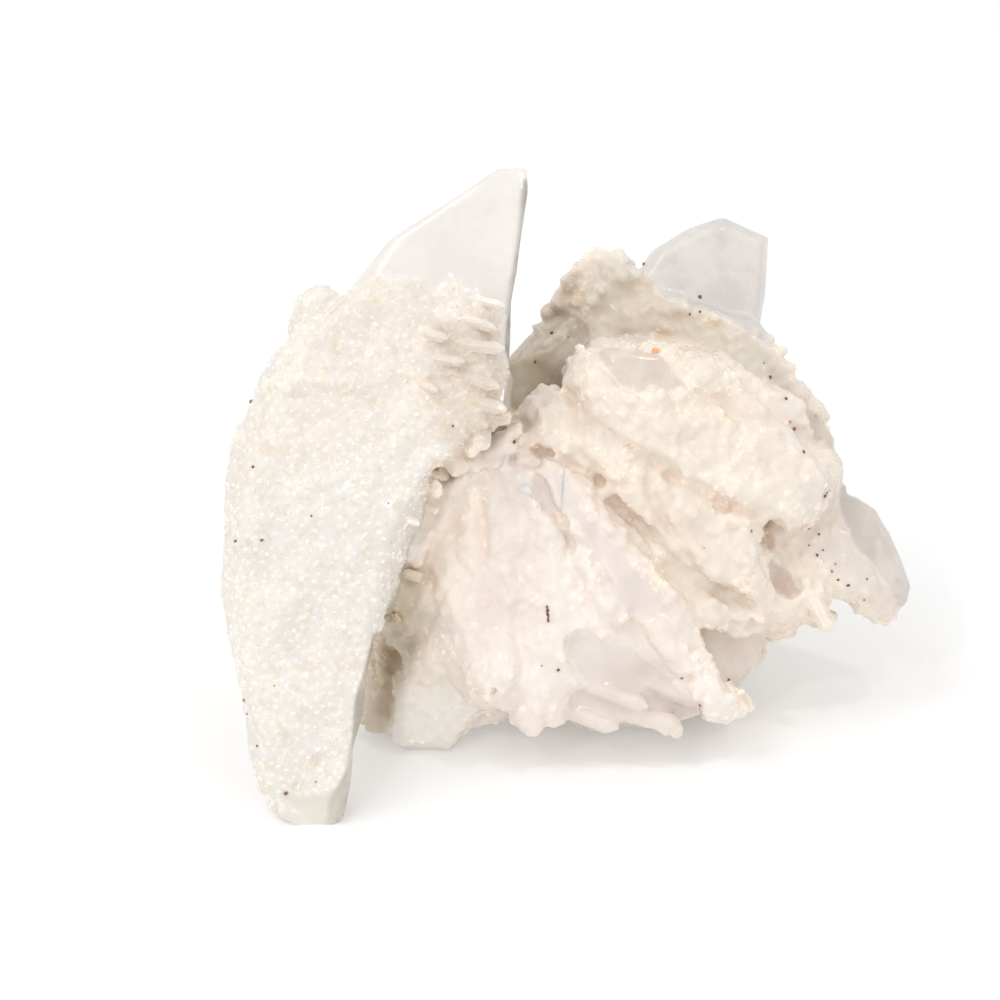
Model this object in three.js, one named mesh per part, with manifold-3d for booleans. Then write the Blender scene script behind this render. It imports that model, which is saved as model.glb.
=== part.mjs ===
// A milky quartz cluster: a tall double-ended blade, a fan of thick crusted plates and a wide
// crystal with a clear tip behind them, all grown together from one broken root.
// Millimetres, +Z up. The cluster's face looks along -Y and leans back.
// The origin is at the middle of the footprint, on the ground.
import * as THREE from "three";
import { ConvexGeometry } from "three/addons/geometries/ConvexGeometry.js";
import { LoftGeometry } from "three/addons/geometries/LoftGeometry.js";
import { ImprovedNoise } from "three/addons/math/ImprovedNoise.js";
import { TessellateModifier } from "three/addons/modifiers/TessellateModifier.js";
import { mergeVertices } from "three/addons/utils/BufferGeometryUtils.js";
import Module from "manifold-3d";

const wasm = await Module();
wasm.setup();

// Driving dimensions.
const LEAN_DEG = 25; // how far the face of the cluster leans back from upright
const GROUND_BLOCK = 200; // side of the block that trims the feet and the root flat at z = 0
const BLADE_FACET = 8.5; // longest facet edge of the crust on the blade
const PLATE_FACET = 7.2; // and on the plates of the fan
const FAR_FACET = 10.5; // and on the root and the far side
const BLADE_RELIEF = 1.5; // how far the crust's lumps push the surface about
const PLATE_RELIEF = 2;
const FAR_RELIEF = 2.6;
const LUMP = 6; // distance between one lump of the crust and the next

// The face is laid out as [x, rise], x to the right and rise up along the lean.
// Depth runs away from the face, square to it, and the whole is then leaned back.
const lean = new THREE.Matrix4().makeRotationX(THREE.MathUtils.degToRad(-LEAN_DEG));
const unlean = lean.clone().invert();

function solidOf(geometry) {
  const bare = new THREE.BufferGeometry().setAttribute("position", geometry.getAttribute("position"));
  if (geometry.index) bare.setIndex(geometry.index);
  const merged = mergeVertices(bare, 1e-4);
  const vertProperties = new Float32Array(merged.getAttribute("position").array);
  const triVerts = new Uint32Array(merged.index.array);
  return new wasm.Manifold(new wasm.Mesh({ numProp: 3, vertProperties, triVerts }));
}

function geometryOf(solid) {
  const { vertProperties, triVerts } = solid.getMesh();
  return new THREE.BufferGeometry()
    .setAttribute("position", new THREE.BufferAttribute(new Float32Array(vertProperties), 3))
    .setIndex(new THREE.BufferAttribute(new Uint32Array(triVerts), 1))
    .toNonIndexed();
}

// A thick plate with rounded rims. Its widest outline lies `round` behind the front and before the
// back, the rim draws in by `inset`, and `tip` slopes its depth with x and with rise.
function plate({ outline, front, back, round, inset, tip = [0, 0] }) {
  const corners = outline.map(([x, rise]) => new THREE.Vector2(x, rise));
  const middle = corners.reduce((sum, c) => sum.add(c), new THREE.Vector2()).divideScalar(corners.length);
  const ring = (depth, drawnIn) =>
    corners.map((corner) => {
      const out = corner.clone().sub(middle);
      const place = middle.clone().add(out.clone().setLength(Math.max(out.length() - drawnIn, 0.3)));
      return new THREE.Vector3(place.x, depth + tip[0] * out.x + tip[1] * out.y, place.y);
    });
  return new ConvexGeometry([
    ...ring(front, inset),
    ...ring(front + round * 0.35, inset * 0.45),
    ...ring(front + round, 0),
    ...ring(back - round, 0),
    ...ring(back, inset),
  ]).applyMatrix4(lean);
}

// A crystal with flat faces, from its corners as [x, depth, rise].
function faceted(corners) {
  return new ConvexGeometry(corners.map((c) => new THREE.Vector3(...c))).applyMatrix4(lean);
}

// A six-sided quartz point from `foot` to `tip`, both [x, depth, rise].
// `flat` thins it across, `turn` rolls it about its length and `apex` moves the tip off its axis.
function quartzPoint({ foot, tip, width, flat = 0.8, turn = 0, apex = 0.25 }) {
  const from = new THREE.Vector3(...foot);
  const along = new THREE.Vector3(...tip).sub(from);
  const radius = width / 2;
  const shoulder = along.length() - radius * 1.1;
  const profile = [[0, 0], [radius * 0.9, 0], [radius, shoulder], [0, along.length()]];
  const point = new THREE.LatheGeometry(profile.map((p) => new THREE.Vector2(...p)), 6).scale(1, 1, flat);
  const place = point.getAttribute("position");
  for (let i = 0; i < place.count; i++) {
    if (place.getY(i) > shoulder + 1e-3) place.setX(i, apex * radius);
  }
  const up = new THREE.Vector3(0, 1, 0);
  const roll = new THREE.Quaternion().setFromAxisAngle(up, turn);
  const aim = new THREE.Quaternion().setFromUnitVectors(up, along.normalize());
  const placed = new THREE.Matrix4().compose(from, aim.multiply(roll), new THREE.Vector3(1, 1, 1));
  return point.applyMatrix4(placed).applyMatrix4(lean);
}

// Crusts a body over: its faces are broken into facets no longer than `facet`, and smooth noise
// pushes their corners about, except where the crystal stays bare.
const noise = new ImprovedNoise();
function crusted(body, facet, relief, bare = []) {
  const fine = new TessellateModifier(facet, 12).modify(body.index ? body.toNonIndexed() : body);
  const place = fine.getAttribute("position");
  const shove = (p, shift) => relief * noise.noise(p.x / LUMP + shift, p.y / LUMP - shift, p.z / LUMP);
  for (let i = 0; i < place.count; i++) {
    const p = new THREE.Vector3().fromBufferAttribute(place, i);
    const face = p.clone().applyMatrix4(unlean);
    if (bare.some((region) => region(face))) continue;
    place.setXYZ(i, p.x + shove(p, 0), p.y + shove(p, 31.4), p.z + shove(p, 57.7));
  }
  return fine;
}

// The tall blade: one bent crystal, pointed at both ends, cut across at several heights.
// Each stretch has its rise, left and right edges, front and back depths, and bevel.
function blade() {
  const stretches = [
    { rise: -1, left: -43, right: -40, front: 3, back: 6, bevel: 0.6 },
    { rise: 2.5, left: -47.5, right: -36.5, front: 1, back: 8.5, bevel: 1.5 },
    { rise: 8, left: -50.5, right: -35.3, front: -0.2, back: 10, bevel: 2.3 },
    { rise: 20, left: -53, right: -34, front: -1, back: 12, bevel: 2.6 },
    { rise: 33, left: -56, right: -31, front: -1.5, back: 13, bevel: 3.2 },
    { rise: 47, left: -57, right: -27.5, front: -2, back: 14, bevel: 4 },
    { rise: 59, left: -56, right: -22.5, front: -2, back: 14, bevel: 4.5 },
    { rise: 69, left: -52.5, right: -12, front: -1.5, back: 14, bevel: 4.5 },
    { rise: 79, left: -48, right: -9.6, front: -1, back: 12.5, bevel: 4 },
    { rise: 88, left: -37, right: -8.4, front: -0.5, back: 11, bevel: 2.6 },
    { rise: 98, left: -29, right: -7.2, front: 0, back: 9, bevel: 1.5 },
    { rise: 106, left: -16.5, right: -6, front: 0.5, back: 7, bevel: 1 },
    { rise: 109.8, left: -11, right: -6.2, front: 2, back: 5.5, bevel: 0.6 },
  ];
  const sections = stretches.map(({ rise, left, right, front, back, bevel }) =>
    [
      [left, front + bevel * 1.2],
      [left + bevel, front],
      [right - bevel * 0.45, front + 0.2],
      [right, front + bevel],
      [right - bevel * 0.3, back - bevel * 0.6],
      [right - bevel * 1.2, back],
      [left + bevel * 1.4, back],
      [left + bevel * 0.3, back - bevel],
    ].map(([x, depth]) => new THREE.Vector3(x, depth, rise)),
  );
  return new LoftGeometry(sections, { capStart: true, capEnd: true }).applyMatrix4(lean);
}

// Rods standing out of the blade's right side, and the knob on its left edge.
function bladeGrowths() {
  const rods = [
    { foot: [-24, 7, 70], tip: [-10.5, 2, 71.8], width: 3.2 },
    { foot: [-24, 8, 68], tip: [-9.6, 4, 68.3], width: 3 },
    { foot: [-25, 6, 66], tip: [-12.5, 1.5, 64.5], width: 3.2 },
    { foot: [-26, 8, 63], tip: [-16, 4.5, 60.5], width: 3 },
    { foot: [-27, 7, 60], tip: [-20, 3, 55.5], width: 3.4 },
    { foot: [-22, 6, 76], tip: [-8.8, 3.5, 79], width: 3 },
    { foot: [-22, 6, 84], tip: [-8.6, 3, 86.5], width: 2.6 },
  ];
  const knob = [
    { foot: [-38, 6, 80], tip: [-41.4, 5, 90.4], width: 5.4 },
    { foot: [-37, 8, 79], tip: [-44.2, 6, 86.6], width: 5 },
    { foot: [-37, 5, 82], tip: [-39, 3.5, 89.6], width: 4 },
  ];
  return [...rods, ...knob].map(quartzPoint);
}

// The wide crystal behind: its clear tip, its crusted body and the stubby points along its edges.
function backTip() {
  return plate({
    outline: [
      [11, 90], [15.5, 98], [22, 102], [28, 104], [31, 102], [36, 100.5], [35.5, 91], [34, 82], [24, 78], [13, 82],
    ],
    front: 31, back: 44, round: 4, inset: 2, tip: [0.1, 0],
  });
}

function backBody() {
  return plate({
    outline: [
      [-9.5, 79.5], [-3, 85], [2.5, 90.5], [7.5, 94.5], [13, 95], [34, 85.5], [38.5, 75], [42.5, 68], [43, 60],
      [24, 56], [-1, 60], [-9.5, 66],
    ],
    front: 28, back: 48, round: 6, inset: 4, tip: [-0.08, 0],
  });
}

function backPoints() {
  return [
    { foot: [7, 36, 86], tip: [-1.2, 32, 90.8], width: 5 },
    { foot: [10, 34, 87], tip: [3, 30, 93.4], width: 5 },
    { foot: [13, 36, 88], tip: [7, 33, 96.2], width: 5.5 },
    { foot: [3, 36, 80], tip: [-5.5, 32, 85], width: 5 },
    { foot: [-1, 36, 74], tip: [-10, 32, 79], width: 5 },
    { foot: [31, 34, 72], tip: [40, 30, 76], width: 5 },
    { foot: [32, 34, 80], tip: [37, 30, 83.5], width: 4.6 },
    { foot: [35, 34, 64], tip: [44, 31, 68.5], width: 5 },
  ].map(quartzPoint);
}

// The fan: thick crusted plates from the top one down, all spreading from one point.
function fan() {
  return [
    {
      outline: [
        [1, 75], [2.5, 78], [6.5, 80.5], [13, 81.3], [19, 80.8], [23.5, 78.8], [28.5, 74.5], [35, 68], [42, 62],
        [47, 57], [45.5, 53.5], [39.5, 50], [32, 52], [23.5, 56.5], [16.5, 60.5], [9, 64.5], [3.5, 68.5],
      ],
      front: 12, back: 40, round: 6, inset: 3.6, tip: [0.16, 0.04],
    },
    {
      outline: [
        [22, 80.5], [27.5, 78.5], [32.5, 75], [37.5, 71.5], [42, 67], [45, 62.5], [47.5, 58], [44, 57],
        [35.5, 64], [27, 72],
      ],
      front: 21, back: 43, round: 4, inset: 1.5, tip: [0.12, 0],
    },
    {
      outline: [
        [-8.5, 66.5], [-5.5, 70], [-3, 71.5], [0, 72], [3, 70], [7, 66], [11.5, 61.5], [14, 59], [12, 56],
        [4, 56], [-4, 60],
      ],
      front: 12.5, back: 40, round: 4, inset: 2, tip: [0.18, 0],
    },
    {
      outline: [
        [6, 65], [13.5, 59], [17, 57.8], [21.5, 55.2], [26.5, 51.8], [31.5, 46.8], [34.2, 41.5], [34.8, 39],
        [32.5, 37.5], [28, 39], [19.5, 44], [13, 50], [4.5, 57.5],
      ],
      front: 13.5, back: 40, round: 4.5, inset: 2.4, tip: [0.2, 0],
    },
    {
      outline: [
        [22, 55], [27, 52.5], [32, 50.8], [36.5, 47.3], [40.5, 42.8], [43.5, 38.8], [41.5, 36.5], [37, 39],
        [32.5, 43], [27, 47.5],
      ],
      front: 20, back: 40, round: 3, inset: 1.5, tip: [0.25, 0],
    },
    {
      outline: [
        [4.5, 56.5], [13, 51.5], [21.5, 44], [28, 39.5], [33.5, 37], [34, 32], [29, 33.5], [23, 35.5],
        [17, 38], [11, 44.5], [5, 52],
      ],
      front: 17.5, back: 40, round: 3, inset: 1.5, tip: [0.2, 0.1],
    },
    {
      outline: [
        [-4.5, 61.5], [-1.5, 61.5], [3, 58], [8, 52.5], [14, 45.5], [19, 39], [23, 32], [26.5, 25],
        [30.5, 18.5], [25, 19.5], [20.5, 24.5], [16, 29.5], [12, 35], [7, 41.5], [2.5, 48.5], [-1.5, 54.5],
      ],
      front: 11.4, back: 40, round: 3.2, inset: 1.2, tip: [0.3, 0],
    },
    {
      outline: [
        [-23.5, 53], [-21.5, 58.5], [-16, 62.5], [-10, 64], [-5, 62], [-3.5, 56.5], [-4, 51.5], [-5, 44.5],
        [-7.5, 38], [-9.5, 31.5], [-9.5, 24.5], [-11.5, 20], [-16, 22.5], [-19.5, 29.5], [-21.5, 36.5], [-24, 44.5],
      ],
      front: 12, back: 40, round: 4.5, inset: 3, tip: [-0.12, 0.02],
    },
  ].map(plate);
}

// The smooth faces that show through the fan's crust, and the clear prisms lying under it.
function fanFaces() {
  const upperFace = faceted([
    [-4.5, 12.5, 61], [2, 13.5, 56], [13, 16.5, 43], [21.5, 19.5, 31], [26, 21, 24], [17, 15.5, 27],
    [9, 13.2, 31], [0, 12.8, 33], [-8, 13.5, 33], [-5, 12.8, 48], [-4.5, 38, 58], [20, 38, 36], [20, 38, 26],
    [-8, 38, 30],
  ]);
  const lowerFace = faceted([
    [-10, 14.5, 34], [0, 13, 34], [9, 13, 31.5], [16, 15.5, 28], [22, 18.5, 22.5], [26, 21.5, 19], [20, 19.5, 17.2],
    [12, 18.5, 17], [2, 17.5, 17.8], [-6, 16.5, 18.5], [-10, 16, 23], [-2, 13.8, 25], [8, 14.8, 24], [-10, 38, 30],
    [20, 38, 24], [14, 36, 17], [-6, 36, 18],
  ]);
  const prisms = [
    { foot: [0, 17, 25], tip: [15, 14.5, 19.6], width: 5, turn: 0.3 },
    { foot: [4, 18, 20.5], tip: [21, 16.5, 16.4], width: 4.6, turn: 0.8 },
    { foot: [6, 18, 27], tip: [24.5, 17, 20.2], width: 4.6, turn: 0.1 },
    { foot: [-4, 18, 21], tip: [10, 16, 16], width: 4.6, turn: 0.5 },
    { foot: [-7, 18, 28], tip: [-5.2, 14.5, 14.6], width: 7, turn: 0.6 },
    { foot: [-2, 18, 28], tip: [-0.5, 15, 16.2], width: 5.4, turn: 0.2 },
    { foot: [-10, 18, 30], tip: [-10, 15.5, 18.5], width: 5.4, turn: 0.9 },
  ].map(quartzPoint);
  const sideFaces = faceted([
    [19, 22, 36], [23.5, 20.5, 35], [33, 24, 31.8], [34.7, 26, 30.5], [33.2, 27, 26.5], [30.5, 25, 24.2],
    [27, 23, 23.5], [23, 22, 29], [16, 38, 40], [34, 40, 38], [34, 40, 28], [26, 38, 22],
  ]);
  const smallTip = faceted([
    [40, 26, 38], [43.5, 26, 37], [46.2, 28, 32.8], [45, 29, 32.2], [42, 30, 34], [38, 38, 42], [43, 38, 42],
    [40, 38, 34],
  ]);
  return [upperFace, lowerFace, ...prisms, sideFaces, smallTip];
}

// Crusted crystals round the fan: the one lying out to the right, the knob under the ledge, and the
// two small blades low on the left.
function sideCrystals() {
  return [
    {
      outline: [
        [43, 51.5], [46.5, 56.8], [51, 56], [54, 53.2], [56.5, 49], [58.7, 44.3], [60.2, 40], [59.5, 36.8],
        [57, 35.6], [54, 35.3], [51.5, 37], [47, 41], [43, 45],
      ],
      front: 25, back: 40, round: 4.5, inset: 3.5, tip: [0.15, 0],
    },
    {
      outline: [[30, 56], [44, 58], [51, 52], [53.5, 39], [50.5, 38.5], [44, 43], [36, 46]],
      front: 23, back: 41, round: 3, inset: 2, tip: [0.15, 0],
    },
    {
      outline: [[31.5, 39], [36, 40.5], [39.5, 39.8], [42.2, 37], [41.5, 34], [38.5, 32], [34.5, 31.2], [32, 33.5]],
      front: 21, back: 40, round: 4, inset: 2.5, tip: [0.1, 0],
    },
    {
      outline: [
        [-28.5, 13], [-26, 12.3], [-19, 12], [-16, 16], [-13, 20], [-11, 24], [-11, 34], [-16, 38], [-21, 36],
        [-25, 30], [-28, 22.5],
      ],
      front: 20, back: 38, round: 3, inset: 2, tip: [0.15, -0.35],
    },
    {
      outline: [[-34.5, 14], [-29, 12.5], [-22, 12.5], [-22, 36], [-30.5, 36], [-34.5, 23.5]],
      front: 31, back: 42, round: 3, inset: 2,
    },
  ].map(plate);
}

// The back of the recess between the blade and the fan, and the growth that ties the blade in.
function recess() {
  const wall = plate({
    outline: [
      [-11, 70], [-20, 64], [-26, 50], [-30, 36], [-32.5, 27], [-33, 15], [-25, 14], [0, 20], [6, 40], [0, 68],
    ],
    front: 27, back: 45, round: 3, inset: 2,
  });
  const tie = faceted([
    [-50, 9, 42], [-50, 9, 70], [-34, 8, 76], [-22, 8, 64], [-31, 8, 40],
    [-34, 36, 30], [-36, 34, 56], [-12, 34, 68], [-10, 40, 40], [-20, 44, 24],
  ]);
  return [wall, tie];
}

// The root that everything grew from, broken off its wall. Upright corners, [x, y, z].
function root() {
  const ground = [[-12, 47], [8, 46], [30, 50], [36, 66], [24, 84], [2, 88], [-16, 76], [-20, 58]];
  const waist = [[-24, 44, 30], [-18, 62, 34], [-4, 74, 30], [20, 76, 32], [34, 66, 34], [38, 56, 40]];
  const top = [[-14, 44, 52], [10, 46, 58], [30, 54, 54], [16, 66, 52], [-6, 58, 52]];
  const corners = [...ground.map(([x, y]) => [x, y, -6]), ...waist, ...top];
  return new ConvexGeometry(corners.map((c) => new THREE.Vector3(...c)));
}

// The large crystals of the far side, spraying back and down from the root.
function farCrystals() {
  return [
    { foot: [10, 36, 50], tip: [27, 70, 82], width: 17, turn: 0.4 },
    { foot: [0, 36, 46], tip: [-10, 74, 66], width: 16, turn: 0.1 },
    { foot: [8, 38, 42], tip: [17, 84, 58], width: 20, turn: 0.7 },
    { foot: [-12, 30, 50], tip: [-31, 44, 78], width: 13, turn: 0.7 },
    { foot: [14, 42, 36], tip: [44, 68, 48], width: 14, turn: 0.9 },
    { foot: [-10, 40, 36], tip: [-34, 58, 48], width: 13, turn: 0.3 },
    { foot: [0, 44, 34], tip: [-16, 78, 44], width: 12, turn: 0.5 },
    { foot: [16, 44, 40], tip: [36, 76, 66], width: 11, turn: 0.2 },
    { foot: [4, 44, 52], tip: [2, 66, 76], width: 10, turn: 0.6 },
    { foot: [20, 46, 34], tip: [30, 80, 38], width: 11, turn: 0 },
  ].map(quartzPoint);
}

// Where the crystals stay bare, as tests on a place of the face: x, depth (y) and rise (z).
const bladeTip = (p) => p.x < -3 && p.z > 87.5 + 0.12 * (p.x + 30);
const bladeFoot = (p) => p.x > -50 && p.x < -34 && p.z < 7;
const lyingEnd = (p) => p.x > 52 && p.y < 36 && p.z - 40 > (54 - p.x) * 2;
const nearGround = (p) => p.clone().applyMatrix4(lean).z < 3;

const [wall, tie] = recess();
const parts = [
  crusted(blade(), BLADE_FACET, BLADE_RELIEF, [bladeTip, bladeFoot]),
  ...bladeGrowths(),
  backTip(),
  crusted(backBody(), PLATE_FACET, PLATE_RELIEF),
  ...backPoints(),
  ...fan().map((body) => crusted(body, PLATE_FACET, PLATE_RELIEF)),
  ...fanFaces(),
  ...sideCrystals().map((body) => crusted(body, PLATE_FACET, PLATE_RELIEF, [lyingEnd])),
  crusted(wall, PLATE_FACET, PLATE_RELIEF),
  crusted(tie, FAR_FACET, PLATE_RELIEF),
  crusted(root(), FAR_FACET, FAR_RELIEF, [nearGround]),
  ...farCrystals(),
];

// Everything is joined, trimmed at the ground, and centred over its footprint.
const joined = parts.map(solidOf).reduce((sum, part) => sum.add(part));
const ground = new THREE.BoxGeometry(GROUND_BLOCK, GROUND_BLOCK, GROUND_BLOCK);
const standing = joined.subtract(solidOf(ground.translate(0, 0, -GROUND_BLOCK / 2)));

// The outer shell alone is kept, so pockets shut in between the crystals are filled.
const [cluster] = standing.decompose().sort((a, b) => b.volume() - a.volume());

const geometry = geometryOf(cluster);
geometry.computeBoundingBox();
const middle = geometry.boundingBox.getCenter(new THREE.Vector3());
geometry.translate(-middle.x, -middle.y, 0);

const quartz = new THREE.MeshStandardMaterial({ color: 0xf2e9dd, roughness: 0.4, metalness: 0 });
const mesh = new THREE.Mesh(geometry, quartz);
mesh.name = "quartz_cluster";

const group = new THREE.Group();
group.add(mesh);
export default group;
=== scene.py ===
import math
from itertools import product

import bmesh
import bpy
import numpy as np
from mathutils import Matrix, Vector, noise
from mathutils.bvhtree import BVHTree
from mathutils.kdtree import KDTree


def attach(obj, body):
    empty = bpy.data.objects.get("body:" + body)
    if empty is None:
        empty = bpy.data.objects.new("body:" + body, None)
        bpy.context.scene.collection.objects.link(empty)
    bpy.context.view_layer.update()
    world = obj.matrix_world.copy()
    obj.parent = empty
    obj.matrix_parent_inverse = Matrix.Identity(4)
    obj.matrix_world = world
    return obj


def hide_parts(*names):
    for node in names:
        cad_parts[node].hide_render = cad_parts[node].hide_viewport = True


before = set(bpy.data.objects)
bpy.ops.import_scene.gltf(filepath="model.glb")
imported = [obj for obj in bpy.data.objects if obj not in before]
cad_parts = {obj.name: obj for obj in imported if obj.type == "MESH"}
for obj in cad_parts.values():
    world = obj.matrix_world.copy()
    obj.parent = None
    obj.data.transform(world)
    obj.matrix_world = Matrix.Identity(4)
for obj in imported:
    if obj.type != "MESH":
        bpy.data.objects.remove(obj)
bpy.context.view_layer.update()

mm = 0.001
scene = bpy.context.scene

# The camera looks down at the leaning face of the cluster.
camera = {
    "aim": (-0.01249, -0.009748, 0.04124),
    "distance": 0.7,
    "tilt": 65,
    "lens": 148.24,
}

lookTurn = math.radians(camera["tilt"])
lookAlong = np.array([0, math.sin(lookTurn), -math.cos(lookTurn)])
lookUp = np.array([0, math.cos(lookTurn), math.sin(lookTurn)])
lookFrom = np.array(camera["aim"]) - camera["distance"] * lookAlong


def onFace(points):
    # across, up and behind in mm, as a place shows from the front, about the camera's aim
    away = points - lookFrom
    depth = away @ lookAlong
    shrink = camera["distance"] / depth / mm
    return away[:, 0] * shrink, away @ lookUp * shrink, (depth - camera["distance"]) / mm


def fromFace(across, up, behind):
    # the same the other way round, for one place
    depth = camera["distance"] + behind * mm
    spread = depth / camera["distance"] * mm
    return lookFrom + lookAlong * depth + lookUp * up * spread + np.array([across * spread, 0, 0])


def fade(value, start, end):
    t = np.clip((value - start) / (end - start), 0, 1)
    return t * t * (3 - 2 * t)


def apartFrom(across, up, path):
    # how far each place lies from a drawn line
    nearest = np.full(len(across), 1e9)
    for (ax, ay), (bx, by) in zip(path, path[1:]):
        ex, ey = bx - ax, by - ay
        along = np.clip(((across - ax) * ex + (up - ay) * ey) / (ex * ex + ey * ey), 0, 1)
        nearest = np.minimum(nearest, np.hypot(across - ax - along * ex, up - ay - along * ey))
    return nearest


def insideBy(across, up, outline):
    # how far inside a drawn outline each place lies, negative outside
    closed = outline + outline[:1]
    inside = np.zeros(len(across), bool)
    for (ax, ay), (bx, by) in zip(closed, closed[1:]):
        crosses = (ay > up) != (by > up)
        at = ax + (up - ay) * (bx - ax) / ((by - ay) or 1e-9)
        inside ^= crosses & (across < at)
    nearest = apartFrom(across, up, closed)
    return np.where(inside, nearest, -nearest)


def noiseAt(points, size, seed):
    # from -1 to 1, and another noise for each seed
    scale = 1 / size
    shift = np.array([seed, 0, -seed])
    return np.array([noise.noise(Vector(place)) for place in points * scale + shift])


def unit(vectors):
    # the same directions, each one long
    return vectors / np.linalg.norm(vectors, axis=1)[:, None]


def deselectAll():
    bpy.ops.object.select_all(action="DESELECT")


def pick(obj):
    deselectAll()
    obj.select_set(True)
    bpy.context.view_layer.objects.active = obj


def applied(obj, name, kind, **settings):
    pick(obj)
    modifier = obj.modifiers.new(name, kind)
    for key, value in settings.items():
        setattr(modifier, key, value)
    bpy.ops.object.modifier_apply(modifier=modifier.name)


def placesOf(obj):
    places = np.empty(len(obj.data.vertices) * 3)
    obj.data.vertices.foreach_get("co", places)
    return places.reshape(-1, 3)


def meshFrom(name, places, faces):
    mesh = bpy.data.meshes.new(name)
    mesh.from_pydata(places.tolist(), [], faces)
    obj = bpy.data.objects.new(name, mesh)
    scene.collection.objects.link(obj)
    return obj


def copyOf(obj, name):
    copy = obj.copy()
    copy.data = obj.data.copy()
    copy.name = name
    scene.collection.objects.link(copy)
    return copy


def treeOf(obj):
    places = [v.co for v in obj.data.vertices]
    return BVHTree.FromPolygons(places, [p.vertices for p in obj.data.polygons])


def seenAt(trees, across, up):
    # where the line of sight through a place on the face first meets one of the trees
    away = Vector(fromFace(across, up, 0) - lookFrom).normalized()
    hits = [tree.ray_cast(Vector(lookFrom), away) for tree in trees]
    hits = [hit for hit in hits if hit[0] is not None]
    return min(hits, key=lambda hit: hit[3]) if hits else None


def colourAttribute(obj, name, values):
    layer = obj.data.attributes.new(name, "FLOAT_COLOR", "POINT")
    full = np.ones((len(values), 4), dtype=np.float32)
    full[:, :3] = values
    layer.data.foreach_set("color", full.ravel())


def floatAttribute(obj, name, values):
    layer = obj.data.attributes.new(name, "FLOAT", "POINT")
    layer.data.foreach_set("value", np.asarray(values, dtype=np.float32))


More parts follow.
